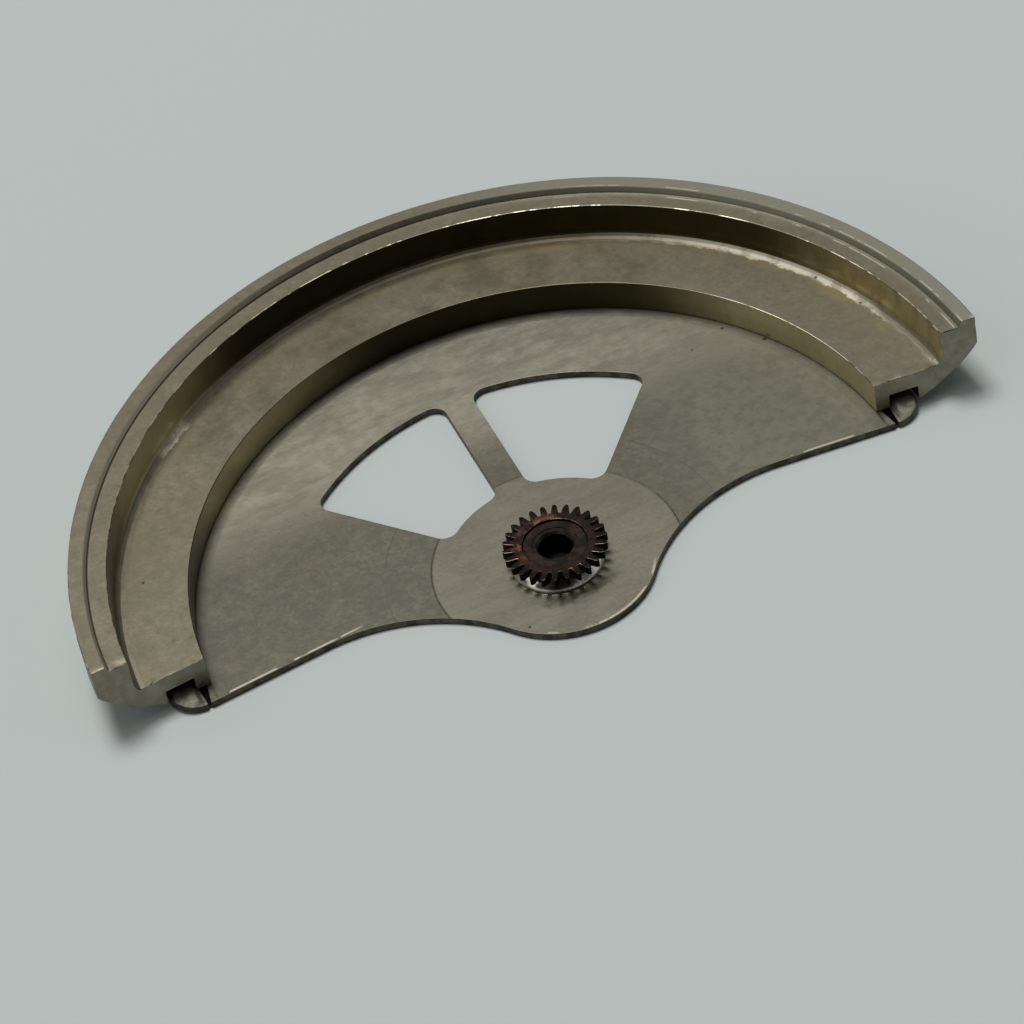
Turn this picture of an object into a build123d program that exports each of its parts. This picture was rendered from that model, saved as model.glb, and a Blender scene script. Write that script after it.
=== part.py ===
from build123d import *
import os
from math import cos, radians, sin, tan

# Winding rotor of an automatic watch, in millimetres.
# It lies on its decorated face, movement side up, as it does when taken off the watch.
# Origin: on the rotor's own axis, level with the decorated face of the plate.
# +Z points to the movement, and +Y to the middle of the weight.

# Carrier plate, its rim just inside the weight's seat
plate_inset = 0.08
plate_thickness = 0.22
plate_peak = 0.90
front_droop = 5.7
plate_corner_radius = 0.75
lobe_radius = 2.55
lobe_forward = 0.18
lobe_flank_radius = 5.0
plate_edge_break = 0.03

# Relief groove in the plate along the weight's inner wall
groove_width = 0.33
groove_depth = 0.03

# Windows beside the plate's spoke
window_inner_radius = 3.0
window_rim_width = 2.55
window_half_angle = 41.0
window_corner_radius = 0.4
spoke_width = 0.85

# Slits that part the end tongues from the plate
slit_offset = 0.05
slit_width = 0.32
slit_mouth = 0.10
slit_length = 1.9

# Dimples punched in the end tongues
dimple_radius = 0.30
dimple_tip_radius = 0.05
dimple_depth = 0.08
dimple_offset = 0.34
dimple_setback = 0.53

# Oscillating weight, from its outer wall inwards and from its step upwards
weight_radius = 12.60
lip_width = 0.50
lip_slope = 0.09
ledge_width = 0.50
step_width = 1.95
step_height = 1.16
ledge_rise = 1.12
lip_rise = 0.17
cove_width = 0.14
cove_height = 0.22
outer_wall_height = 0.91
bevel_width = 1.70
bevel_bulge = 0.14
weight_edge_break = 0.03
end_setback = 0.62

# Pockets under the weight's two ends
pocket_offset = 0.40
pocket_width = 0.80
pocket_height = 0.44
pocket_depth = 1.25

# Rivets that hold the weight on the plate
rivet_count = 5
rivet_offset = 0.70
rivet_spread = 144.0
rivet_shank_radius = 0.25
rivet_head_radius = 0.40
rivet_reach = 0.50
rivet_tip_break = 0.05

# Hub: a flanged pipe riveted into the plate
hub_collar_radius = 1.27
hub_collar_height = 0.36
hub_spigot_radius = 0.90
hub_flare = 0.10
hub_pipe_radius = 0.86
hub_pipe_recess = 0.07
hub_edge_break = 0.03

# Toothed pinion pressed on the pipe, angles taken round the axis
tooth_count = 26
tooth_phase = 4.6
tooth_tip_radius = 1.39
tooth_pitch_radius = 1.30
tooth_root_radius = 1.09
tooth_width = 0.26
tooth_root_angle = 9.6
tooth_pitch_angle = 6.4
tooth_tip_angle = 1.9
tooth_edge_break = 0.02

# Bearing bush in the pipe
bore_radius = 0.45
bush_radius = 0.62
bush_recess = 0.03
oil_sink = 0.06

# Fits and cutting allowance
fit_gap = 0.005
overrun = 1.0

# Radii and heights worked out from the sizes above
lip_inner_radius = weight_radius - lip_width
rim_inner_radius = lip_inner_radius - ledge_width
weight_inner_radius = rim_inner_radius - step_width
seat_radius = weight_radius - bevel_width
ledge_height = step_height + ledge_rise
lip_height = ledge_height + lip_rise
bevel_height = lip_height - outer_wall_height
plate_radius = seat_radius - plate_inset
window_outer_radius = weight_inner_radius - window_rim_width
slit_inner_radius = weight_inner_radius + slit_offset
dimple_x = slit_inner_radius + slit_width + dimple_offset
dimple_y = plate_peak + dimple_setback - dimple_x * tan(radians(front_droop))
pocket_inner_radius = weight_inner_radius + pocket_offset
pocket_outer_radius = pocket_inner_radius + pocket_width
rivet_circle_radius = weight_inner_radius + rivet_offset
plate_hub_hole = hub_spigot_radius + fit_gap
rivet_hole = rivet_shank_radius + fit_gap
pipe_bore_radius = bush_radius + fit_gap
pinion_bore_radius = hub_pipe_radius + fit_gap
collar_top = plate_thickness + hub_collar_height
pinion_top = collar_top + tooth_width
pipe_top = pinion_top - hub_pipe_recess
bush_top = pipe_top - bush_recess
reach = weight_radius + overrun
drop = reach * tan(radians(front_droop))
weight_peak = plate_peak + end_setback
pocket_peak = weight_peak + pocket_depth
rivet_first_angle = 90.0 - rivet_spread / 2
rivet_countersink = rivet_head_radius - rivet_shank_radius
tooth_spacing = 360.0 / tooth_count
on_base = (Align.CENTER, Align.CENTER, Align.MIN)
below_top = (Align.CENTER, Align.CENTER, Align.MAX)


# Everything in front of two straight edges that meet at a peak above the hub axis
def front_area(peak):
    side = peak - drop
    with BuildSketch() as area:
        with BuildLine():
            Polyline((0, peak), (reach, side), (reach, -reach), (-reach, -reach), (-reach, side), close=True)
        make_face()
    return area.sketch


# One fan-shaped window on the right of the spoke
def window_area():
    spoke_edge = spoke_width / 2
    height = window_outer_radius + overrun
    far_x = spoke_edge + height * tan(radians(window_half_angle))
    with BuildSketch() as area:
        Circle(window_outer_radius)
        Circle(window_inner_radius, mode=Mode.SUBTRACT)
        with BuildLine():
            Polyline((spoke_edge, 0), (spoke_edge, height), (far_x, height), close=True)
        make_face(mode=Mode.INTERSECT)
        fillet(area.vertices(), radius=window_corner_radius)
    return area.sketch


# One slit on the right-hand end, a wedge that narrows to the plate's front edge
def slit_area():
    mouth_x = slit_inner_radius + slit_width / 2
    mouth_y = plate_peak - mouth_x * tan(radians(front_droop))
    slit_outer_radius = slit_inner_radius + slit_width
    with BuildSketch() as area:
        with BuildLine():
            Polyline(
                (mouth_x, mouth_y - plate_thickness),
                (mouth_x + slit_mouth, mouth_y - plate_thickness),
                (slit_outer_radius, mouth_y + slit_length / 2),
                (slit_outer_radius, mouth_y + slit_length),
                (slit_inner_radius, mouth_y + slit_length),
                (slit_inner_radius, mouth_y + slit_length / 2),
                close=True,
            )
        make_face()
    return area.sketch


# A point of a tooth gap, half the gap's angle away from its middle line
def gap_point(radius, tooth_angle):
    turn = radians(tooth_spacing - tooth_angle) / 2
    return (radius * cos(turn), radius * sin(turn))


# One gap between two teeth: straight flanks from the root to the pitch circle, then rounded tips
def tooth_gap():
    root = gap_point(tooth_root_radius, tooth_root_angle)
    pitch = gap_point(tooth_pitch_radius, tooth_pitch_angle)
    tip = gap_point(tooth_tip_radius, tooth_tip_angle)
    outside = gap_point(tooth_tip_radius + overrun, tooth_tip_angle)
    with BuildSketch() as area:
        with BuildLine():
            flank = Line(root, pitch)
            TangentArc(pitch, tip, tangent=flank % 1)
            Line(tip, outside)
            mirror(about=Plane.XZ)
            Line(outside, (outside[0], -outside[1]))
            ThreePointArc(root, (tooth_root_radius, 0), (root[0], -root[1]))
        make_face()
    return area.sketch


# The places of the rivets along the seat of the weight
def rivet_places():
    return PolarLocations(rivet_circle_radius, rivet_count, rivet_first_angle, rivet_spread, endpoint=True)


# The innermost of some circular edges, at one height
def inner_circle(edges, height):
    return edges.filter_by(lambda e: abs(e.center().Z - height) < fit_gap).sort_by(SortBy.RADIUS)[0:1]


front_of_plate = front_area(plate_peak)
front_of_weight = front_area(weight_peak)
front_of_pocket = front_area(pocket_peak)
right_window = window_area()
left_window = mirror(right_window, about=Plane.YZ, mode=Mode.PRIVATE)
right_slit = slit_area()
left_slit = mirror(right_slit, about=Plane.YZ, mode=Mode.PRIVATE)
gap = tooth_gap()

# Carrier plate: a sector with a lobe round the hub
with BuildPart() as rotor_plate:
    with BuildSketch() as outline:
        Circle(plate_radius)
        add(front_of_plate, mode=Mode.SUBTRACT)
        fillet(outline.vertices().group_by(Axis.Y)[0], radius=plate_corner_radius)
        with Locations((0, -lobe_forward)):
            Circle(lobe_radius)
        lobe_corners = outline.vertices().sort_by(lambda v: abs(v.X))[0:2]
        fillet(lobe_corners, radius=lobe_flank_radius)
        add(right_window, mode=Mode.SUBTRACT)
        add(left_window, mode=Mode.SUBTRACT)
    extrude(amount=plate_thickness)
    top_edges = rotor_plate.faces().sort_by(Axis.Z)[-1].edges()
    chamfer(top_edges, length=plate_edge_break)
    with BuildSketch(Plane.XY.offset(plate_thickness)):
        Circle(weight_inner_radius)
        Circle(weight_inner_radius - groove_width, mode=Mode.SUBTRACT)
    extrude(amount=-groove_depth, mode=Mode.SUBTRACT)
    with Locations((dimple_x, dimple_y, plate_thickness), (-dimple_x, dimple_y, plate_thickness)):
        Cone(dimple_tip_radius, dimple_radius, dimple_depth, align=below_top, mode=Mode.SUBTRACT)
    with BuildSketch():
        add(right_slit)
        add(left_slit)
        Circle(plate_hub_hole)
        with rivet_places():
            Circle(rivet_hole)
    extrude(amount=plate_thickness, mode=Mode.SUBTRACT)
    lower_circles = rotor_plate.edges().filter_by(GeomType.CIRCLE).group_by(Axis.Z)[0]
    chamfer(lower_circles.filter_by(lambda e: abs(e.radius - plate_hub_hole) < fit_gap), length=hub_flare)
    lower_circles = rotor_plate.edges().filter_by(GeomType.CIRCLE).group_by(Axis.Z)[0]
    chamfer(lower_circles.filter_by(lambda e: abs(e.radius - rivet_hole) < fit_gap), length=rivet_countersink)
rotor_plate.part.label = "rotor_plate"

# Oscillating weight: a stepped section turned round the axis and cut off at both ends
with BuildPart() as oscillating_weight:
    with BuildSketch(Plane.XZ) as section:
        with BuildLine():
            Polyline(
                (seat_radius, plate_thickness),
                (weight_inner_radius, plate_thickness),
                (weight_inner_radius, step_height),
                (rim_inner_radius - cove_width, step_height),
                (rim_inner_radius, step_height + cove_height),
                (rim_inner_radius, ledge_height),
                (lip_inner_radius, ledge_height),
                (lip_inner_radius + lip_slope, lip_height),
                (weight_radius, lip_height),
                (weight_radius, bevel_height),
            )
            SagittaArc((weight_radius, bevel_height), (seat_radius, plate_thickness), bevel_bulge)
        make_face()
    revolve(axis=Axis.Z)
    circles = oscillating_weight.edges().filter_by(GeomType.CIRCLE)
    lip_corners = circles.group_by(Axis.Z)[-1]
    rim_corner = inner_circle(circles, ledge_height)
    step_corner = inner_circle(circles, step_height)
    chamfer(lip_corners + rim_corner + step_corner, length=weight_edge_break)
    with BuildSketch():
        add(front_of_weight)
    extrude(amount=lip_height + overrun, mode=Mode.SUBTRACT)
    with BuildSketch(Plane.XY.offset(plate_thickness)):
        Circle(pocket_outer_radius)
        Circle(pocket_inner_radius, mode=Mode.SUBTRACT)
        add(front_of_pocket, mode=Mode.INTERSECT)
    extrude(amount=pocket_height, mode=Mode.SUBTRACT)
    with BuildSketch(Plane.XY.offset(plate_thickness)):
        with rivet_places():
            Circle(rivet_hole)
    extrude(amount=rivet_reach + fit_gap, mode=Mode.SUBTRACT)
oscillating_weight.part.label = "oscillating_weight"

# Rivets: flush countersunk heads on the decorated face, shanks up in the weight
with BuildPart() as weight_rivets:
    with rivet_places():
        Cone(rivet_head_radius, rivet_shank_radius, rivet_countersink, align=on_base)
        Cylinder(rivet_shank_radius, plate_thickness + rivet_reach, align=on_base)
    chamfer(weight_rivets.edges().group_by(Axis.Z)[-1], length=rivet_tip_break)
weight_rivets.part.label = "weight_rivets"

# Hub: spigot and flare in the plate, collar under the teeth, pipe through the pinion
with BuildPart() as hub_pipe:
    with BuildSketch(Plane.XZ) as hub_section:
        with BuildLine():
            Polyline(
                (pipe_bore_radius, 0),
                (hub_spigot_radius + hub_flare, 0),
                (hub_spigot_radius, hub_flare),
                (hub_spigot_radius, plate_thickness),
                (hub_collar_radius, plate_thickness),
                (hub_collar_radius, collar_top),
                (hub_pipe_radius, collar_top),
                (hub_pipe_radius, pipe_top),
                (pipe_bore_radius, pipe_top),
                close=True,
            )
        make_face()
        chamfer(hub_section.vertices().group_by(Axis.X)[-1], length=hub_edge_break)
    revolve(axis=Axis.Z)
hub_pipe.part.label = "hub_pipe"

# Pinion: a turned ring with bevelled rims, then the gaps cut between its teeth
with BuildPart() as rotor_pinion:
    with BuildSketch(Plane.XY.offset(collar_top)):
        Circle(tooth_tip_radius)
        Circle(pinion_bore_radius, mode=Mode.SUBTRACT)
    extrude(amount=tooth_width)
    rims = rotor_pinion.edges().filter_by(GeomType.CIRCLE).filter_by(lambda e: e.radius > tooth_root_radius)
    chamfer(rims, length=tooth_edge_break)
    with BuildSketch(Plane.XY.offset(collar_top)):
        with PolarLocations(0, tooth_count, tooth_phase):
            add(gap)
    extrude(amount=tooth_width, mode=Mode.SUBTRACT)
rotor_pinion.part.label = "rotor_pinion"

# Bearing bush: the post runs in its bore, with an oil sink at the movement's end
with BuildPart() as bearing_bush:
    with BuildSketch():
        Circle(bush_radius)
    extrude(amount=bush_top)
    Hole(bore_radius)
    bore_edges = bearing_bush.edges().filter_by(GeomType.CIRCLE).filter_by(lambda e: e.radius < bush_radius)
    chamfer(bore_edges.group_by(Axis.Z)[-1], length=oil_sink)
bearing_bush.part.label = "bearing_bush"

os.makedirs("parts", exist_ok=True)
export_step(rotor_plate.part, "parts/rotor_plate.step")
export_step(oscillating_weight.part, "parts/oscillating_weight.step")
export_step(weight_rivets.part, "parts/weight_rivets.step")
export_step(hub_pipe.part, "parts/hub_pipe.step")
export_step(rotor_pinion.part, "parts/rotor_pinion.step")
export_step(bearing_bush.part, "parts/bearing_bush.step")
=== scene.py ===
import bpy
import math
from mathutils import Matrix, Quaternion, Vector, noise


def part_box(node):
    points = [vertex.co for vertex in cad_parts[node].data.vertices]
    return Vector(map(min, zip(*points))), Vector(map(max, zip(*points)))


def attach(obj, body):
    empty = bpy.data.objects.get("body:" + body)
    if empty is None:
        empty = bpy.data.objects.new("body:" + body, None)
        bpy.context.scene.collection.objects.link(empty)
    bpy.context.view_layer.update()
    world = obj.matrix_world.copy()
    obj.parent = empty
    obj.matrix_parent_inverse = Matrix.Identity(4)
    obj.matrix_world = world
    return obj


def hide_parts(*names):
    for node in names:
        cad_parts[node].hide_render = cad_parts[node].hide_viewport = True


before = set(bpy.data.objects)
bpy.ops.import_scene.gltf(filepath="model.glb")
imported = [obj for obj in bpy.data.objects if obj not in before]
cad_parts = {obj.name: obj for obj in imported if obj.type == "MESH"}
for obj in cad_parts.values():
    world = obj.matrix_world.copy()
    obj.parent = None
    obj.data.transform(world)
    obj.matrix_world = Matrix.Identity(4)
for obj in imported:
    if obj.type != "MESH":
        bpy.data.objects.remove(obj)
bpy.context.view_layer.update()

millimetre = 0.001  # pieces are drawn in millimetres and brought to metres when they are finished
tolerance = 0.0005  # points and planes as near as this count as one
overrun = 0.1  # how far a cutter reaches past the metal
margin = 0.02  # how far a finish may reach past the edge of its own surface
edgeFinish = 1  # the second finish of a piece is the one for its broken edges


def nodeBox(node):
    # a node's lowest and highest corner, in millimetres
    return [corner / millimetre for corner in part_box(node)]


# Selecting and drawing

def deselectAll():
    if bpy.context.mode != "OBJECT":
        bpy.ops.object.mode_set(mode="OBJECT")
    bpy.ops.object.select_all(action="DESELECT")


def activate(piece):
    deselectAll()
    piece.select_set(True)
    bpy.context.view_layer.objects.active = piece


def choose(piece, test, kind="FACE"):
    # leaves edit mode on, with the faces or vertices selected that pass the test
    activate(piece)
    bpy.ops.object.mode_set(mode="EDIT")
    bpy.ops.mesh.select_mode(type=kind)
    bpy.ops.mesh.select_all(action="DESELECT")
    bpy.ops.object.mode_set(mode="OBJECT")
    for part in piece.data.polygons if kind == "FACE" else piece.data.vertices:
        part.select = test(part)
    bpy.ops.object.mode_set(mode="EDIT")


def drawChain(points, closed):
    # a plane merged to one vertex, then extruded from point to point
    bpy.ops.mesh.select_all(action="DESELECT")
    bpy.ops.mesh.primitive_plane_add(size=1, location=points[0])
    bpy.ops.mesh.merge(type="CENTER")
    ends = points[1:] + points[:1] if closed else points[1:]
    for here, there in zip(points, ends):
        bpy.ops.mesh.extrude_vertices_move(TRANSFORM_OT_translate={"value": there - here})


def mergeAll(distance):
    bpy.ops.mesh.select_all(action="SELECT")
    bpy.ops.mesh.remove_doubles(threshold=distance)


def spinRound(steps, degrees, copies=False):
    # sweeps what is selected in edit mode round the axis, or copies it
    bpy.ops.mesh.spin(steps=steps, angle=math.radians(degrees), dupli=copies,
                      center=(0, 0, 0), axis=(0, 0, -1))


def startPiece(name, chains, closed=True):
    deselectAll()
    bpy.ops.mesh.primitive_plane_add(size=1)
    piece = bpy.context.object
    piece.name = name
    bpy.ops.object.mode_set(mode="EDIT")
    bpy.ops.mesh.select_mode(type="VERT")
    bpy.ops.mesh.delete(type="VERT")
    for points in chains:
        drawChain(points, closed)
    mergeAll(tolerance)
    return piece


def faceOutwards():
    # works in edit mode, and leaves it
    bpy.ops.mesh.select_all(action="SELECT")
    bpy.ops.mesh.normals_make_consistent(inside=False)
    bpy.ops.object.mode_set(mode="OBJECT")


def fillAndRaise(height):
    # closed outlines filled and extruded to a flat solid
    bpy.ops.mesh.fill()
    bpy.ops.mesh.select_all(action="SELECT")
    bpy.ops.mesh.extrude_region_move(TRANSFORM_OT_translate={"value": (0, 0, height)})
    faceOutwards()


def raiseOutline(name, chains, bottom, top):
    piece = startPiece(name, [lifted(chain, bottom) for chain in chains])
    fillAndRaise(top - bottom)
    return piece


def lifted(points, height):
    return [point + Vector((0, 0, height)) for point in points]


def arc(centre, radius, start, end, spacing):
    # points on an arc the short way round, angles in degrees
    turn = (end - start + 180) % 360 - 180
    steps = max(2, round(abs(math.radians(turn)) * radius / spacing))
    angles = [math.radians(start + turn * i / steps) for i in range(steps + 1)]
    return [Vector((centre[0] + radius * math.cos(a), centre[1] + radius * math.sin(a), 0)) for a in angles]


def ring(radius, steps):
    angles = [2 * math.pi * i / steps for i in range(steps)]
    return [Vector((radius * math.cos(a), radius * math.sin(a), 0)) for a in angles]


def divide(points, spacing):
    # adds points so that no gap is much over the spacing
    result = []
    for here, there in zip(points, points[1:] + points[:1]):
        steps = max(1, round((there - here).length / spacing))
        result += [here.lerp(there, i / steps) for i in range(steps)]
    return result


def bearing(v):
    return math.degrees(math.atan2(v[1], v[0]))


def touching(hub, linePoint, along, offset, radius):
    # centre of a circle that keeps one distance from a line and another from the hub
    normal = Vector((-along[1], along[0], 0))
    q = linePoint + normal * offset - hub
    t = -q.dot(along) + math.sqrt(q.dot(along) ** 2 - q.length_squared + radius ** 2)
    return hub + q + along * t


def mirrored(points):
    return [Vector((-p.x, p.y, p.z)) for p in reversed(points)]


def lathe(name, profile, steps, degrees=360):
    # (radius, height) points spun about the axis
    piece = startPiece(name, [[Vector((p[0], 0, p[1])) for p in profile]])
    spinRound(steps, degrees)
    mergeAll(tolerance)
    faceOutwards()
    return piece


def cutWith(piece, cutter):
    activate(piece)
    cut = piece.modifiers.new("cut", "BOOLEAN")
    cut.object = cutter
    cut.operation = "DIFFERENCE"
    cut.solver = "EXACT"
    bpy.ops.object.modifier_apply(modifier=cut.name)
    bpy.data.objects.remove(cutter)


def breakEdges(piece, width, angle):
    # rounds the edges that are sharper than the angle, and gives the new faces the edge finish
    activate(piece)
    for _ in range(edgeFinish + 1):
        piece.data.materials.append(None)
    edge = piece.modifiers.new("edge", "BEVEL")
    edge.width = width
    edge.segments = 2
    edge.limit_method = "ANGLE"
    edge.angle_limit = math.radians(angle)
    edge.material = edgeFinish
    bpy.ops.object.modifier_apply(modifier=edge.name)


def paintFaces(piece, finishes, finish, test):
    for face in piece.data.polygons:
        if test(face.center, face.normal):
            face.material_index = finishes.index(finish)


def push(piece, centre, radius, move):
    # a soft push of all points near a place, strongest at its middle
    centre = Vector(centre)
    for vertex in piece.data.vertices:
        share = 1 - (vertex.co - centre).length_squared / radius ** 2
        if share > 0:
            vertex.co += Vector(move) * share ** 2


def finishPiece(piece, finishes, node, smoothAngle=20):
    # faces outwards, metres, finishes, and its place in the frame
    activate(piece)
    bpy.ops.object.mode_set(mode="EDIT")
    faceOutwards()
    piece.scale = (millimetre,) * 3
    bpy.ops.object.transform_apply(location=True, rotation=True, scale=True)
    bpy.ops.object.shade_smooth_by_angle(angle=math.radians(smoothAngle))
    indices = [face.material_index for face in piece.data.polygons]
    piece.data.materials.clear()
    for material in finishes:
        piece.data.materials.append(material)
    for face, index in zip(piece.data.polygons, indices):
        face.material_index = index
    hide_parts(node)
    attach(piece, "root")
    print(piece.name, "done,", len(piece.data.polygons), "faces")


# Building materials

def newMaterial(name):
    material = bpy.data.materials.new(name)
    material.use_nodes = True
    return material, material.node_tree.nodes["Principled BSDF"]


def connect(value, socket):
    # another node's output, a colour or a number
    if isinstance(value, bpy.types.NodeSocket):
        socket.id_data.links.new(value, socket)
    else:
        socket.default_value = (*value, 1) if isinstance(value, tuple) else value


def setSockets(node, values):
    for name, value in values.items():
        connect(value, node.inputs[name])


def newNode(beside, kind, values):
    # in the same tree as another node or socket
    node = beside.id_data.nodes.new("ShaderNode" + kind)
    setSockets(node, values)
    return node


def place(beside, scale=(1, 1, 1), turn=0):
    # object coordinates in millimetres, turned about the axis
    coords = newNode(beside, "TexCoord", {})
    mapping = newNode(beside, "Mapping", {
        "Vector": coords.outputs["Object"],
        "Scale": [s / millimetre for s in scale],
        "Rotation": [0, 0, math.radians(turn)],
    })
    return mapping.outputs["Vector"]


def cloud(where, scale, detail=5):
    return newNode(where, "TexNoise", {
        "Vector": where, "Scale": scale, "Detail": detail, "Roughness": 0.6,
    }).outputs["Fac"]


def remap(value, span, low=0.0, high=1.0):
    # low before the span, high after it, and a smooth change between
    node = newNode(value, "MapRange", {
        "Value": value, "From Min": span[0], "From Max": span[1], "To Min": low, "To Max": high,
    })
    node.interpolation_type = "SMOOTHSTEP"
    return node.outputs["Result"]


def calc(operation, *values):
    node = newNode(values[0], "Math", {})
    node.operation = operation
    for socket, value in zip(node.inputs, values):
        connect(value, socket)
    return node.outputs[0]


def times(*values):
    product = values[0]
    for value in values[1:]:
        product = calc("MULTIPLY", product, value)
    return product


def blend(factor, a, b):
    node = newNode(factor, "Mix", {})
    node.data_type = "RGBA"
    for socket, value in zip([s for s in node.inputs if s.enabled], (factor, a, b)):
        connect(value, socket)
    return [s for s in node.outputs if s.enabled][0]


def axes(where):
    return newNode(where, "SeparateXYZ", {"Vector": where}).outputs[:]


def fromAxis(where, centre=(0, 0)):
    # distance from the rotor's axis, or from another upright line
    x, y, _ = axes(where)
    x = calc("SUBTRACT", x, centre[0])
    y = calc("SUBTRACT", y, centre[1])
    return calc("SQRT", calc("ADD", times(x, x), times(y, y)))


def band(value, middle, width, soft):
    # 1 inside a band, falling to 0 at both sides
    off = calc("ABSOLUTE", calc("SUBTRACT", value, middle))
    return remap(off, (width / 2, width / 2 + soft), 1.0, 0.0)


def finishMetal(shader, colour, roughness, grain, depth):
    # the grain is a pattern that stands up by the depth
    bump = newNode(shader, "Bump", {"Height": grain, "Distance": depth * millimetre})
    setSockets(shader, {
        "Base Color": colour, "Metallic": 1.0, "Roughness": roughness, "Normal": bump.outputs["Normal"],
    })


# Mottled by handling: the plate and the weight share this with other tints
def mottledColour(where, look):
    mottle = cloud(where, look["mottleScale"])
    fine = cloud(where, look["mottleScale"] * 5)
    streaks = cloud(place(where, (0.35, 2.4, 1), look["streakTurn"]), 1.2)
    tint = cloud(place(where, turn=40), look["mottleScale"] * 0.6, detail=2)
    grain = cloud(where, 8.0, detail=3)
    specks = cloud(where, 5.0, detail=3)
    colour = blend(remap(mottle, (0.34, 0.66), 0.55, 1.0), look["shade"], look["base"])
    colour = blend(remap(streaks, (0.45, 0.75), 0.0, look["streaks"]), colour, look["pale"])
    colour = blend(remap(tint, (0.42, 0.62), 0.0, look["tint"]), colour, look["warm"])
    colour = blend(remap(fine, (0.35, 0.65), 0.0, 0.75), colour, look["shade"])
    colour = blend(remap(grain, (0.3, 0.7), 0.0, 0.55), colour, look["shade"])
    colour = blend(remap(specks, (0.60, 0.78), 0.0, look["specks"]), colour, look["dirtAndShade"])
    return colour, mottle, fine


def finishMottled(shader, where, colour, fine, look):
    # dark spots last, then an uneven sheen
    for x, y, size in look["spots"]:
        spot = remap(fromAxis(where, (x, y)), (size * 0.4, size), look["spotShare"], 0.0)
        colour = blend(spot, colour, look["dirtAndShade"])
    rough = remap(fine, (0.3, 0.7), look["roughness"] - 0.02, look["roughness"] + 0.02)
    finishMetal(shader, colour, rough, cloud(where, 9.0), look["grainDepth"])


def plateMaterial(look):
    material, shader = newMaterial("plateMetal")
    where = place(shader)
    x, y, _ = axes(where)
    radius = fromAxis(where)
    colour, mottle, fine = mottledColour(where, look)
    # rubbed brighter behind the windows and round the hub
    back = remap(y, look["rubbedBack"], 0.0, look["backShare"])
    nearHub = remap(radius, look["rubbedHub"], look["hubShare"], 0.0)
    smears = cloud(place(shader, (0.5, 1.6, 1), look["streakTurn"]), 1.4)
    rubbedAndHighlight = times(calc("MAXIMUM", back, nearHub), remap(fine, (0.35, 0.65), 0.75, 1.0),
                   remap(smears, (0.38, 0.6), 0.6, 1.0))
    colour = blend(rubbedAndHighlight, colour, look["rubbedAndHighlight"])
    lighter = times(remap(x, look["lighterRight"], 0.0, 0.6), remap(fine, (0.3, 0.7), 1.0, 0.4))
    colour = blend(lighter, colour, look["lighter"])
    # dull grey band in the turned groove, and a dark line of dirt and painted shade where the weight stands
    # on the plate
    groove = times(band(radius, *look["grooveBand"]), look["grooveShare"])
    colour = blend(groove, colour, look["groove"])
    dirtAndShade = times(band(radius, *look["dirtAndShadeLine"]), remap(fine, (0.3, 0.6), 0.1, 0.7))
    colour = blend(dirtAndShade, colour, look["dirtAndShade"])
    # oil that has crept out from under the collar and painted shadow of the pinion, only in front of the
    # collar
    reach = calc("ADD", radius, remap(fine, (0.3, 0.7), -0.10, 0.10))
    creptOilAndShadow = times(remap(reach, look["oilRing"], 1.0, 0.0), remap(y, look["oilAhead"], 0.85, 0.0))
    colour = blend(creptOilAndShadow, colour, look["dirtAndShade"])
    # scribed circles round the hub, faint where they have been rubbed away
    for scribed, strength in look["scribed"]:
        line = times(band(radius, scribed, 0.012, 0.03), remap(mottle, (0.35, 0.55)), strength)
        colour = blend(line, colour, look["dirtAndShade"])
    # burnished lines with a painted highlight just inside the front edge: along the lobe, and along both
    # straight parts
    inset, width, soft = look["burnishedLine"]
    lobeY, lobeRadius, peak, slope = look["frontEdge"]
    lobe = times(band(fromAxis(where, (0, lobeY)), lobeRadius - inset, width, soft),
                 remap(y, look["burnishedLobe"], 1.0, 0.0))
    aside = calc("ABSOLUTE", x)
    inside = calc("ADD", calc("SUBTRACT", y, peak), times(aside, slope))
    sides = times(band(inside, inset, width, soft), remap(aside, look["burnishedSides"]))
    broken = remap(cloud(where, 1.1), (0.48, 0.55), 0.0, 0.9)
    colour = blend(times(calc("MAXIMUM", lobe, sides), broken), colour, look["burnishedAndHighlight"])
    finishMottled(shader, where, colour, fine, look)
    return material


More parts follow.
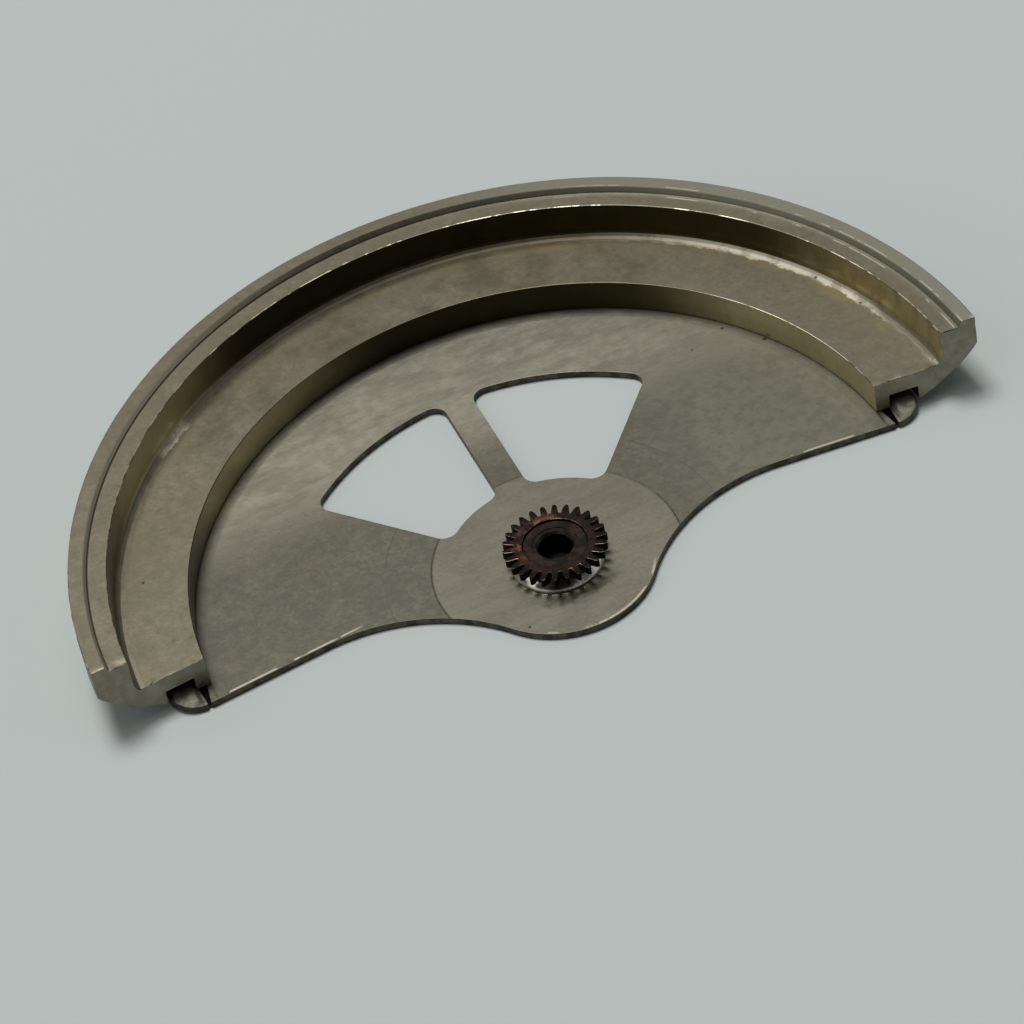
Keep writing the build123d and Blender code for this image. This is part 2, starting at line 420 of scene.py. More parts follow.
def weightMaterial(look):
    material, shader = newMaterial("weightMetal")
    where = place(shader)
    x, y, _ = axes(where)
    radius = fromAxis(where)
    colour, _, fine = mottledColour(where, look)
    # smoky brown clouds and painted shade at the back of the step
    smokeAndShade = times(remap(cloud(where, 0.7), (0.44, 0.62), 0.0, look["smokeAndShade"]),
                  remap(y, look["smokeBack"]), remap(radius, look["smokeEnd"], 1.0, 0.0))
    colour = blend(smokeAndShade, colour, look["dirtAndShade"])
    # yellow-brown stain that creeps out of the cove over the step
    reach = calc("ADD", radius, remap(cloud(where, 0.9), (0.3, 0.7), -0.45, 0.35))
    stain = times(remap(reach, look["stainReach"], 0.0, look["coveStain"]),
                  remap(radius, look["stainEnd"], 1.0, 0.0),
                  remap(x, look["stainLeft"], 0.15, 1.0), remap(x, look["stainRight"], 1.0, 0.2))
    colour = blend(stain, colour, look["stain"])
    # painted highlight on the cove on the right, and in one place on the left
    patchX, patchY, patchSize = look["covePatch"]
    patch = remap(fromAxis(where, (patchX, patchY)), (patchSize * 0.5, patchSize), 1.0, 0.0)
    right = times(remap(x, look["paleFrom"], 0.15, 1.0), remap(x, look["paleTo"], 1.0, 0.15))
    edge = calc("ADD", radius, remap(fine, (0.3, 0.7), -0.06, 0.06))
    pale = times(calc("MAXIMUM", patch, right),
                 remap(cloud(where, 1.8), (0.36, 0.50), 0.5, 1.0),
                 remap(edge, look["coveFoot"]), remap(radius, look["coveTop"], 1.0, 0.0), 0.9)
    colour = blend(pale, colour, look["paintedHighlight"])
    # the rim is greenish on the right, with painted highlight lines
    green = times(remap(radius, look["greenRim"]), remap(x, look["greenRight"], 0.0, 0.7))
    colour = blend(green, colour, look["greenish"])
    lines = [band(radius, line, 0.02, 0.02) for line in look["highlightLines"]]
    rimHighlights = times(calc("MAXIMUM", *lines), remap(x, look["highlightRight"]),
                   remap(cloud(where, 1.5), (0.49, 0.56), 0.0, 0.55))
    colour = blend(rimHighlights, colour, look["paintedHighlight"])
    # painted light on the slope of the lip on the left, and a line of painted shade at its foot
    slope = times(band(radius, *look["lipSlope"]), remap(x, look["slopeLeft"], 0.85, 0.0))
    colour = blend(slope, colour, look["paintedHighlight"])
    foot = times(band(radius, *look["footLine"]), remap(x, look["footLeft"], 0.9, 0.45))
    colour = blend(foot, colour, look["dirtAndShade"])
    finishMottled(shader, where, colour, fine, look)
    return material


# Walls of the half ring: blotched olive and brown
def wallMaterial(look):
    material, shader = newMaterial("wallMetal")
    where = place(shader)
    x, y, _ = axes(where)
    runs = cloud(place(shader, (1, 1, 0.3)), 2.6)
    colour = blend(remap(cloud(where, 0.8), (0.38, 0.62)), look["olive"], look["brown"])
    colour = blend(remap(runs, (0.4, 0.7), 0.0, 0.6), colour, look["pale"])
    # the inner wall is rubbed a little; the walls on the left get painted light at the back and painted
    # shade in front
    inner = remap(fromAxis(where), look["innerWall"], 0.45, 0.0)
    colour = blend(inner, colour, look["wornAndLit"])
    wornAndLit = times(remap(x, look["litLeft"], 0.75, 0.0), remap(y, look["litBack"]))
    colour = blend(wornAndLit, colour, look["wornAndLit"])
    dull = times(remap(x, look["shadeLeft"], 0.8, 0.0), remap(y, look["shadeFront"], 1.0, 0.0))
    colour = blend(dull, colour, look["dull"])
    # darkest in the middle of the half ring: painted shade on the far walls, which face the front
    middle = axes(place(shader, turn=look["oilTurn"]))[1]
    colour = blend(remap(middle, look["oilMiddle"], 0.0, 0.95), colour, look["oil"])
    finishMetal(shader, colour, look["roughness"], cloud(where, 7.0), 0.004)
    return material


# Edges rubbed bright, broken where they have dulled
def edgeMaterial(name, look):
    material, shader = newMaterial(name)
    where = place(shader)
    share = remap(cloud(where, look["breakScale"]), look["breakSpan"])
    # the step's edge is bright only on the right: painted highlight
    if "brightRight" in look:
        share = times(share, remap(axes(where)[0], look["brightRight"]))
    colour = blend(share, look["dull"], look["bright"])
    finishMetal(shader, colour, look["roughness"], cloud(where, 9.0), 0.003)
    return material


def bronzeMaterial(look):
    material, shader = newMaterial("bronze")
    where = place(shader)
    radius = fromAxis(where)
    patches = cloud(where, 2.2)
    crumbs = cloud(where, 6.0)
    # reddened on one side
    side = remap(axes(place(shader, turn=look["redTurn"]))[1], look["redSide"], 0.15, 1.0)
    reddened = times(remap(patches, (0.40, 0.62)), side)
    colour = blend(reddened, look["dark"], look["red"])
    # oil between the teeth, and crumbs of it everywhere
    reach = calc("ADD", radius, remap(crumbs, (0.3, 0.7), -0.12, 0.12))
    colour = blend(remap(reach, look["oilTeeth"], 0.0, 0.92), colour, look["oil"])
    colour = blend(remap(crumbs, (0.58, 0.66), 0.0, 0.8), colour, look["oil"])
    # painted highlight arcs near the pipe
    rim = times(band(radius, *look["highlightRim"]), remap(patches, (0.44, 0.58), 0.0, 0.8),
                remap(side, (0.5, 1.0)))
    colour = blend(rim, colour, look["rubbedAndHighlight"])
    rough = remap(crumbs, (0.35, 0.65), look["roughness"], look["roughness"] + 0.2)
    finishMetal(shader, colour, rough, cloud(where, 8.0), 0.006)
    return material


def smallPartMaterial(name, look):
    material, shader = newMaterial(name)
    where = place(shader)
    colour = blend(remap(cloud(where, 3.0), (0.38, 0.62)), look["dark"], look["base"])
    if "oilTurn" in look:
        # old oil and painted shade above a height, on the side that faces one way from the axis
        facing = axes(place(shader, turn=look["oilTurn"]))[1]
        facing = calc("DIVIDE", facing, fromAxis(where))
        facing = calc("ADD", facing, remap(cloud(where, 4.0), (0.3, 0.7), -0.03, 0.03))
        oil = times(remap(facing, look["oilFacing"], 0.0, 0.95),
                    remap(axes(where)[2], look["oilAbove"]))
        colour = blend(oil, colour, look["oil"])
    if "oilBehind" in look:
        # painted shade towards the back, where the tongue runs in under the weight
        behind = axes(where)[1]
        behind = calc("ADD", behind, remap(cloud(where, 4.0), (0.3, 0.7), -0.12, 0.12))
        colour = blend(remap(behind, look["oilBehind"], 0.0, 0.95), colour, look["oil"])
    finishMetal(shader, colour, look["roughness"], cloud(where, 7.0), look["grainDepth"])
    return material


# The plate's lower face, rubbed with a straight grain
def decoratedMaterial(look):
    material, shader = newMaterial("decoratedFace")
    grain = cloud(place(shader, (0.12, 6.0, 1)), 3.0)
    patch = cloud(place(shader), 0.5)
    colour = blend(remap(patch, (0.35, 0.65)), look["shade"], look["base"])
    colour = blend(remap(grain, (0.35, 0.65), 0.0, 0.4), colour, look["pale"])
    finishMetal(shader, colour, look["roughness"], grain, 0.003)
    return material


# Places and radii of the finishes are in millimetres, and a pair is where a change begins and ends
plateLook = {
    "base": (0.194, 0.183, 0.140), "shade": (0.118, 0.114, 0.088), "pale": (0.210, 0.200, 0.155),
    "warm": (0.182, 0.162, 0.120), "rubbedAndHighlight": (0.385, 0.358, 0.280), "groove": (0.115, 0.115, 0.095),
    "burnishedAndHighlight": (0.50, 0.46, 0.37), "lighter": (0.240, 0.226, 0.176), "dirtAndShade": (0.03, 0.027, 0.02),
    "mottleScale": 0.6, "streakTurn": -28, "streaks": 0.35, "tint": 0.5, "specks": 0.30,
    "roughness": 0.47, "grainDepth": 0.0030,
    "rubbedBack": (3.6, 6.6), "backShare": 0.75, "rubbedHub": (3.28, 3.34), "hubShare": 0.30,
    "lighterRight": (3.0, 6.0), "oilRing": (1.45, 1.85), "oilAhead": (-1.5, -1.0),
    # middle, width and softness
    "grooveBand": (9.49, 0.30, 0.05), "grooveShare": 0.30, "dirtAndShadeLine": (9.66, 0.03, 0.04),
    # radius and strength
    "scribed": [(3.35, 0.7), (4.6, 0.25)],
    # the lobe's place and radius, and the peak and slope of both straight parts
    "frontEdge": (-0.18, 2.55, 0.90, 0.0998),
    "burnishedLine": (0.05, 0.03, 0.03), "burnishedLobe": (-1.6, -1.2), "burnishedSides": (5.0, 6.0),
    # place and size
    "spots": [(-1.62, -1.89, 0.06), (8.30, 4.75, 0.09), (7.48, 5.75, 0.07), (6.40, 5.39, 0.05)],
    "spotShare": 0.75,
}
weightLook = {
    "base": (0.268, 0.240, 0.174), "shade": (0.170, 0.153, 0.108), "pale": (0.295, 0.268, 0.205),
    "warm": (0.245, 0.202, 0.142), "stain": (0.27, 0.22, 0.115), "dirtAndShade": (0.035, 0.03, 0.02),
    "paintedHighlight": (0.72, 0.67, 0.54), "greenish": (0.30, 0.30, 0.235),
    "mottleScale": 0.5, "streakTurn": 35, "streaks": 0.35, "tint": 0.45, "specks": 0.30,
    "roughness": 0.47, "grainDepth": 0.0030,
    "smokeAndShade": 0.30, "smokeBack": (6.0, 9.0), "smokeEnd": (11.3, 11.7),
    "coveStain": 0.6, "stainReach": (10.9, 11.5), "stainEnd": (11.56, 11.66), "stainLeft": (-6.0, 5.0),
    "stainRight": (10.7, 11.1),
    "covePatch": (-7.60, 8.70, 0.9), "paleFrom": (5.0, 9.5), "paleTo": (10.85, 11.15),
    "coveFoot": (11.33, 11.42), "coveTop": (11.60, 11.63),
    "greenRim": (11.9, 12.2), "greenRight": (-1.0, 7.0),
    "highlightLines": (12.02, 12.24), "highlightRight": (4.0, 7.0),
    # middle, width and softness
    "lipSlope": (12.17, 0.05, 0.02), "slopeLeft": (-8.0, 0.0),
    "footLine": (12.12, 0.02, 0.02), "footLeft": (-4.0, 4.0),
    # place and size
    "spots": [(-10.11, 3.97, 0.06), (10.19, 5.24, 0.07), (10.79, 3.69, 0.06)], "spotShare": 0.8,
}
wallLook = {
    "olive": (0.34, 0.31, 0.155), "brown": (0.40, 0.32, 0.185), "pale": (0.55, 0.49, 0.33),
    "wornAndLit": (0.85, 0.78, 0.52), "dull": (0.14, 0.13, 0.12), "oil": (0.045, 0.038, 0.014), "roughness": 0.30,
    "innerWall": (10.0, 10.5), "litLeft": (-9.5, -3.0), "litBack": (5.0, 7.5),
    "shadeLeft": (-8.5, -5.0), "shadeFront": (4.0, 7.0), "oilTurn": 15, "oilMiddle": (6.8, 9.2),
}
endLook = {
    "dark": (0.255, 0.228, 0.170), "base": (0.305, 0.288, 0.224), "roughness": 0.55, "grainDepth": 0.002,
}
weightEdgeLook = {
    "bright": (0.54, 0.50, 0.39), "dull": (0.12, 0.11, 0.08), "roughness": 0.42,
    "breakScale": 1.8, "breakSpan": (0.47, 0.55),
}
stepEdgeLook = {
    "bright": (0.50, 0.45, 0.33), "dull": (0.09, 0.08, 0.055), "roughness": 0.42,
    "breakScale": 1.1, "breakSpan": (0.40, 0.52), "brightRight": (7.0, 8.5),
}
plateEdgeLook = {
    "bright": (0.80, 0.77, 0.68), "dull": (0.24, 0.22, 0.18), "roughness": 0.28,
    "breakScale": 1.5, "breakSpan": (0.46, 0.56),
}
toothEdgeLook = {
    "bright": (0.17, 0.12, 0.075), "dull": (0.025, 0.02, 0.017), "roughness": 0.4,
    "breakScale": 3.0, "breakSpan": (0.45, 0.6),
}
bronzeLook = {
    "red": (0.105, 0.042, 0.027), "dark": (0.024, 0.018, 0.016), "oil": (0.014, 0.012, 0.010),
    "rubbedAndHighlight": (0.21, 0.115, 0.07), "roughness": 0.34,
    "redTurn": -30, "redSide": (-0.5, 1.0), "oilTeeth": (1.05, 1.22), "highlightRim": (0.92, 0.05, 0.06),
}
collarLook = {
    "base": (0.95, 0.93, 0.84), "dark": (0.70, 0.67, 0.58), "roughness": 0.2, "grainDepth": 0.001,
    "oil": (0.03, 0.025, 0.02), "oilTurn": 204, "oilFacing": (0.88, 0.94), "oilAbove": (0.29, 0.36),
}
tongueLook = {
    "base": (0.165, 0.155, 0.125), "dark": (0.095, 0.088, 0.068), "roughness": 0.62, "grainDepth": 0.008,
    "oil": (0.02, 0.018, 0.014), "oilBehind": (0.62, 0.95),
}
pipeLook = {
    "base": (0.050, 0.034, 0.028), "dark": (0.022, 0.018, 0.016), "roughness": 0.4, "grainDepth": 0.006,
}
bushLook = {
    "base": (0.045, 0.036, 0.031), "dark": (0.022, 0.018, 0.016), "roughness": 0.38, "grainDepth": 0.006,
}
paintedEdgeShadeLook = {
    "base": (0.11, 0.10, 0.08), "dark": (0.05, 0.045, 0.035), "roughness": 0.45, "grainDepth": 0.004,
}
paintedShadeLook = {
    "base": (0.02, 0.018, 0.014), "dark": (0.006, 0.006, 0.006), "roughness": 0.6, "grainDepth": 0.006,
}
rivetLook = {
    "base": (0.50, 0.48, 0.43), "dark": (0.38, 0.36, 0.32), "roughness": 0.35, "grainDepth": 0.002,
}

plateMetal = plateMaterial(plateLook)
weightMetal = weightMaterial(weightLook)
wallMetal = wallMaterial(wallLook)
decoratedFace = decoratedMaterial(plateLook)
bronze = bronzeMaterial(bronzeLook)
weightEdge = edgeMaterial("weightEdge", weightEdgeLook)
stepEdge = edgeMaterial("stepEdge", stepEdgeLook)
plateEdge = edgeMaterial("plateEdge", plateEdgeLook)
toothEdge = edgeMaterial("toothEdge", toothEdgeLook)
endMetal = smallPartMaterial("endMetal", endLook)
hubSteel = smallPartMaterial("hubSteel", collarLook)
pipeSteel = smallPartMaterial("pipeSteel", pipeLook)
bushBronze = smallPartMaterial("bushBronze", bushLook)
rivetSteel = smallPartMaterial("rivetSteel", rivetLook)
paintedShade = smallPartMaterial("paintedShade", paintedShadeLook)
paintedEdgeShade = smallPartMaterial("paintedEdgeShade", paintedEdgeShadeLook)
tongueMetal = smallPartMaterial("tongueMetal", tongueLook)
print("materials ready")


# Oscillating weight

weightShape = {
    "innerRadius": 9.65,
    "stepHeight": 1.16,
    "coveInner": 11.46,
    "rimInner": 11.60,
    "coveTop": 1.38,
    "coveBow": 0.02,
    "ledgeHeight": 2.28,
    "lipFoot": 12.13,
    "lipEdge": 12.19,
    "lipBreak": 0.02,
    "bevelHeight": 1.54,
    "bevelBulge": 0.14,
    "bevelSteps": 20,
    "seatRadius": 10.90,
    "cornerRound": 0.02,
    "endPeak": 1.52,  # where the two end planes would meet, on the Y axis
    "endDroop": 5.7,
    "endBreak": 0.02,
    "endReach": 0.35,
    "pocketInner": 10.05,
    "pocketOuter": 10.85,
    "pocketHeight": 0.44,
    "pocketAlong": (-6, 9.6),  # degrees
    "pocketSpacing": 0.3,
    "endGrid": 0.25,
    "wearReach": 0.06,
    "wearScale": 1.6,
    "wearDepth": 0.045,
    # centre, radius and shift of each knock
    "knocks": [
        ((11.50, 0.38, 1.16), 0.50, (0.0, 0.10, -0.04)),
        ((-11.80, 0.36, 2.28), 0.25, (0.0, 0.05, -0.02)),
    ],
    "sectionSpacing": 0.10,
    "spinSteps": 420,
}


def roundCorner(radius, height, r, bodySide):
    # an upper corner, from its flat to its wall; bodySide is 1 where the body lies further out
    return [Vector((radius + bodySide * r, height)), Vector((radius + bodySide * 0.3 * r, height - 0.3 * r)),
            Vector((radius, height - r))]


def weightProfile(shape, outer, bottom, top):
    # the turned section, round from the foot of the outer bevel
    r = shape["cornerRound"]
    foot = Vector((shape["seatRadius"], bottom))
    crest = Vector((outer, shape["bevelHeight"]))
    side = Vector(((crest - foot).y, -(crest - foot).x)).normalized() * shape["bevelBulge"]
    points = []
    for i in range(shape["bevelSteps"] + 1):
        share = i / shape["bevelSteps"]
        points.append(foot.lerp(crest, share) + side * 4 * share * (1 - share))
    points += reversed(roundCorner(outer, top, r, -1))
    points += [Vector((shape["lipEdge"] + shape["lipBreak"], top)),
               Vector((shape["lipEdge"], top - shape["lipBreak"])),
               Vector((shape["lipFoot"], shape["ledgeHeight"]))]
    points += roundCorner(shape["rimInner"], shape["ledgeHeight"], r, 1)
    cove = Vector((shape["coveInner"], shape["stepHeight"]))
    coveTop = Vector((shape["rimInner"], shape["coveTop"]))
    bow = Vector((shape["coveBow"], -shape["coveBow"]))
    points += [coveTop, coveTop.lerp(cove, 0.35) + bow, coveTop.lerp(cove, 0.7) + bow, cove]
    points += roundCorner(shape["innerRadius"], shape["stepHeight"], r, 1)
    points += [Vector((shape["innerRadius"], bottom))]
    return divide(points, shape["sectionSpacing"])


def behindEnd(point, shape):
    # how far a point lies behind the plane of its end face, along Y
    return point.y - shape["endPeak"] + abs(point.x) * math.tan(math.radians(shape["endDroop"]))


def wearEnds(piece, shape):
    # the edges of both end faces are worn back unevenly
    for vertex in piece.data.vertices:
        point = vertex.co
        behind = behindEnd(point, shape)
        if behind < shape["wearReach"]:
            share = 1 - behind / shape["wearReach"]
            wave = noise.noise(point * shape["wearScale"])
            wave += 0.6 * noise.noise(point * shape["wearScale"] * 2.7)
            point.y += max(0, wave) * shape["wearDepth"] * share
            point.z -= max(0, wave) * shape["wearDepth"] * share * 0.5


def makeWeight(shape):
    low, high = nodeBox("oscillating_weight")
    profile = weightProfile(shape, high.y, low.z, high.z)
    piece = lathe("oscillatingWeight", profile, shape["spinSteps"], 180)
    slope = math.radians(shape["endDroop"])
    for side in (1, -1):
        choose(piece, lambda v: v.co.x * side > shape["seatRadius"] / 2, "VERT")
        bpy.ops.mesh.bisect(plane_co=(0, shape["endPeak"], 0), use_fill=True, clear_inner=True,
                            plane_no=(side * math.sin(slope), math.cos(slope), 0))
        bpy.ops.object.mode_set(mode="OBJECT")
    reach = (*shape["pocketAlong"], shape["pocketSpacing"])
    pocket = arc((0, 0), shape["pocketInner"], *reach)
    pocket += reversed(arc((0, 0), shape["pocketOuter"], *reach))
    for chain in (pocket, mirrored(pocket)):
        cutWith(piece, raiseOutline("pocket", [chain], low.z - overrun, low.z + shape["pocketHeight"]))

    def onEnd(vertex):
        return abs(behindEnd(vertex.co, shape)) < tolerance

    def onCap(face):
        return onEnd(piece.data.vertices[face.vertices[0]]) and face.normal.y < -0.9

    choose(piece, onEnd, "VERT")
    bpy.ops.mesh.bevel(offset=shape["endBreak"], segments=2, affect="EDGES")
    # a grid on both end faces, so that they can be dented
    grid = shape["endGrid"]
    cuts = [((0, 0, i * grid), (0, 0, 1)) for i in range(1, math.ceil(high.z / grid))]
    cuts += [((i * grid, 0, 0), (1, 0, 0)) for i in range(round(-high.y / grid), round(high.y / grid) + 1)
             if abs(i * grid) > shape["innerRadius"]]
    for spot, normal in cuts:
        choose(piece, onCap)
        bpy.ops.mesh.bisect(plane_co=spot, plane_no=normal)
    bpy.ops.object.mode_set(mode="OBJECT")
    wearEnds(piece, shape)
    for centre, radius, move in shape["knocks"]:
        push(piece, centre, radius, move)
    return piece


def finishWeight(piece, shape):
    low, high = nodeBox("oscillating_weight")
    flats = (low.z, shape["stepHeight"], shape["ledgeHeight"], high.z)
    finishes = [weightMetal, weightEdge, wallMetal, endMetal, stepEdge, paintedEdgeShade]

    def isWall(centre, normal):
        return abs(normal.z) < 0.3 and centre.xy.length < shape["rimInner"] + margin

    def isEnd(centre, normal):
        return behindEnd(centre, shape) < shape["endReach"] and normal.y < -0.75

    def isEndLine(centre, normal):
        # the dark line along the top of both end faces: painted shade
        nearFlat = any(abs(centre.z - flat) < 0.06 for flat in flats)
        return behindEnd(centre, shape) < 0.045 and 0.6 < normal.z < 0.99 and nearFlat

    def isCorner(centre, normal):
        if isEnd(centre, normal) or centre.xy.length > high.y - tolerance:
            return False
        onLip = shape["lipFoot"] < centre.xy.length < shape["lipEdge"] + 0.08
        return not onLip and 0.3 < normal.z < 0.97 and any(-0.045 < centre.z - flat < 0 for flat in flats)

    def isStepCorner(centre, normal):
        return isCorner(centre, normal) and centre.xy.length < shape["coveInner"]

    paintFaces(piece, finishes, wallMetal, isWall)
    paintFaces(piece, finishes, weightEdge, isCorner)
    paintFaces(piece, finishes, stepEdge, isStepCorner)
    paintFaces(piece, finishes, endMetal, isEnd)
    paintFaces(piece, finishes, paintedEdgeShade, isEndLine)
    finishPiece(piece, finishes, "oscillating_weight")


finishWeight(makeWeight(weightShape), weightShape)


# Carrier plate

plateShape = {
    "peak": 0.90,
    "droop": 5.7,
    "cornerRound": 0.75,
    "lobeRadius": 2.545,
    "lobeForward": 0.18,
    "flankRadius": 5.0,
    "grooveOuter": 9.64,
    "grooveWidth": 0.33,
    "grooveDepth": 0.015,
    "windowInner": 3.0,
    "windowOuter": 7.10,
    "windowAngle": 41,
    "windowCorner": 0.4,
    "spokeWidth": 0.85,
    "slitInner": 9.70,
    "slitWidth": 0.32,
    "slitMouth": 0.10,
    "slitLength": 1.9,
    "slitPast": 0.3,
    "plugTop": 0.10,
    "plugGap": 0.03,
    "hubHole": 0.905,
    "edgeBreak": 0.04,
    # place, radius, depth and number of facets of the punch marks in the end tongues
    "dimples": [(-10.37, 0.36, 0.38, 0.05, 9), (10.36, 0.40, 0.31, 0.04, 12)],
    # both tongues are bent up: from, crest and to along Y, from and to across
    "tongueAlong": (-0.10, 0.62, 1.6),
    "tongueAcross": (10.03, 10.80),
    "tongueRise": 0.17,
    "tongueSide": 0.15,
    "tongueGrid": (12, 7),
    "spacing": 0.08,
    "rimSpacing": 0.25,
}


def plateOutline(shape, outer):
    slope = math.radians(shape["droop"])
    along = Vector((math.cos(slope), -math.sin(slope), 0))
    up = Vector((math.sin(slope), math.cos(slope), 0))
    peak = Vector((0, shape["peak"], 0))
    centre = Vector((0, 0, 0))
    lobe = Vector((0, -shape["lobeForward"], 0))
    corner = touching(centre, peak, along, shape["cornerRound"], outer - shape["cornerRound"])
    flank = touching(lobe, peak, along, -shape["flankRadius"], shape["lobeRadius"] + shape["flankRadius"])
    fromLobe = flank - lobe
    edge = [flank + up * shape["flankRadius"], corner - up * shape["cornerRound"]]
    steps = round((edge[1] - edge[0]).length / shape["spacing"])
    half = arc(lobe, shape["lobeRadius"], -90, bearing(fromLobe), shape["spacing"])
    half += arc(flank, shape["flankRadius"], bearing(-fromLobe), bearing(up), shape["spacing"])
    half += [edge[0].lerp(edge[1], i / steps) for i in range(1, steps)]
    half += arc(corner, shape["cornerRound"], bearing(-up), bearing(corner), shape["spacing"])
    half += arc(centre, outer, bearing(corner), 90, shape["rimSpacing"])
    return half + mirrored(half)[1:-1]


def windowOutline(shape):
    r = shape["windowCorner"]
    outer, inner, spacing = shape["windowOuter"], shape["windowInner"], shape["spacing"]
    slant = math.radians(90 - shape["windowAngle"])
    far = Vector((math.cos(slant), math.sin(slant), 0))
    centre = Vector((0, 0, 0))
    start = Vector((shape["spokeWidth"] / 2, 0, 0))
    up = Vector((0, 1, 0))
    nearTop = touching(centre, start, up, -r, outer - r)
    farTop = touching(centre, start, far, r, outer - r)
    farLow = touching(centre, start, far, r, inner + r)
    nearLow = touching(centre, start, up, -r, inner + r)
    fromFar = bearing((far.y, -far.x))
    return (arc(nearTop, r, 180, bearing(nearTop), spacing)
            + arc(centre, outer, bearing(nearTop), bearing(farTop), spacing)
            + arc(farTop, r, bearing(farTop), fromFar, spacing)
            + arc(farLow, r, fromFar, bearing(-farLow), spacing)
            + arc(centre, inner, bearing(farLow), bearing(nearLow), spacing)
            + arc(nearLow, r, bearing(-nearLow), 180, spacing))


def slitOutline(shape, past):
    # its mouth at the plate's front edge, or past it
    inner = shape["slitInner"]
    outer = inner + shape["slitWidth"]
    middle = inner + shape["slitWidth"] / 2
    mouth = shape["peak"] - middle * math.tan(math.radians(shape["droop"]))
    waist = mouth + shape["slitLength"] / 2
    end = mouth + shape["slitLength"]
    share = 2 * past / shape["slitLength"]
    near = middle + (middle - inner) * share
    far = middle + shape["slitMouth"] + (middle + shape["slitMouth"] - outer) * share
    corners = [(near, mouth - past), (far, mouth - past), (outer, waist), (outer, end), (inner, end),
               (inner, waist)]
    return [Vector((x, y, 0)) for x, y in corners]


def raiseTongues(piece, shape):
    # both end tongues are bent up in the pockets of the weight
    front, crest, back = shape["tongueAlong"]
    inner, outer = shape["tongueAcross"]
    side = shape["tongueSide"]
    rows, columns = shape["tongueGrid"]
    cuts = [((0, front + (back - front) * i / rows, 0), (0, 1, 0)) for i in range(rows + 1)]
    for i in range(columns + 1):
        across = inner + (outer - inner) * i / columns
        cuts += [((across, 0, 0), (1, 0, 0)), ((-across, 0, 0), (1, 0, 0))]
    for spot, normal in cuts:
        choose(piece, lambda face: True)
        bpy.ops.mesh.bisect(plane_co=spot, plane_no=normal)
    bpy.ops.object.mode_set(mode="OBJECT")
    for vertex in piece.data.vertices:
        x, y, z = vertex.co
        if inner < abs(x) < outer and front < y < back:
            along = min((y - front) / (crest - front), (back - y) / (back - crest))
            across = min(1, (abs(x) - inner) / side, (outer - abs(x)) / side)
            vertex.co.z = z + shape["tongueRise"] * math.sin(along * math.pi / 2) * across


def makePlate(shape):
    low, high = nodeBox("rotor_plate")
    window = windowOutline(shape)
    chains = [plateOutline(shape, high.y), window, mirrored(window), ring(shape["hubHole"], 96)]
    piece = raiseOutline("rotorPlate", chains, low.z, high.z)
    breakEdges(piece, shape["edgeBreak"], 40)
    groove = [ring(shape["grooveOuter"], 360), ring(shape["grooveOuter"] - shape["grooveWidth"], 360)]
    cutWith(piece, raiseOutline("groove", groove, high.z - shape["grooveDepth"], high.z + overrun))
    slit = slitOutline(shape, shape["slitPast"])
    for chain in (slit, mirrored(slit)):
        cutWith(piece, raiseOutline("slit", [chain], low.z - overrun, high.z + overrun))
    for x, y, radius, depth, facets in shape["dimples"]:
        deselectAll()
        # a cone on its tip, as high again above the plate as the mark is deep
        bpy.ops.mesh.primitive_cone_add(vertices=facets, radius1=0, radius2=2 * radius, depth=2 * depth,
                                        location=(x, y, high.z))
        cutWith(piece, bpy.context.object)
    raiseTongues(piece, shape)
    # a near-black plug low in both slits: painted shade
    gap = shape["plugGap"]
    shadePlug = slitOutline(shape, -gap)
    dirtAndShade = raiseOutline("slitShade", [shadePlug, mirrored(shadePlug)], low.z + gap, low.z + shape["plugTop"])
    activate(piece)
    dirtAndShade.select_set(True)
    bpy.ops.object.join()
    return piece


def finishPlate(piece, shape):
    low, high = nodeBox("rotor_plate")
    slitOuter = shape["slitInner"] + shape["slitWidth"]
    finishes = [plateMetal, plateEdge, decoratedFace, paintedShade, paintedEdgeShade, tongueMetal]

    def isUnderside(centre, normal):
        return normal.z < -0.9 and centre.z < low.z + 0.01

    def isSide(centre, normal):
        return abs(normal.z) < 0.3

    def inSlit(centre, normal):
        across = shape["slitInner"] - margin < abs(centre.x) < slitOuter + margin
        return across and centre.z < high.z - margin and 0 < centre.y < 2.5

    def isTongue(centre, normal):
        return normal.z > 0.3 and abs(centre.x) > slitOuter and centre.y < shape["tongueAlong"][2]

    paintFaces(piece, finishes, decoratedFace, isUnderside)
    # the plate's upright sides are painted dark: painted shade
    paintFaces(piece, finishes, paintedEdgeShade, isSide)
    # the slits' faces are painted near black: painted shade
    paintFaces(piece, finishes, paintedShade, inSlit)
    paintFaces(piece, finishes, tongueMetal, isTongue)
    finishPiece(piece, finishes, "rotor_plate")


finishPlate(makePlate(plateShape), plateShape)


# Rivets between plate and weight

rivetShape = {"count": 5, "circle": 10.35, "spread": 144, "shank": 0.25, "head": 0.40, "tipBreak": 0.05}


def makeRivets(shape):
    low, high = nodeBox("weight_rivets")
    shank, head, tip = shape["shank"], shape["head"], shape["tipBreak"]
    profile = [(0.0, low.z), (head, low.z), (shank, low.z + head - shank), (shank, high.z - tip),
               (shank - tip, high.z), (0.0, high.z)]
    piece = lathe("weightRivets", profile, 32)
    bpy.ops.object.mode_set(mode="EDIT")
    bpy.ops.mesh.select_all(action="SELECT")
    first = math.radians(90 - shape["spread"] / 2)
    bpy.ops.transform.translate(value=Vector((math.cos(first), math.sin(first), 0)) * shape["circle"])
    spinRound(shape["count"] - 1, shape["spread"], copies=True)
    finishPiece(piece, [rivetSteel], "weight_rivets")


makeRivets(rivetShape)


# Hub pipe, pinion and bush

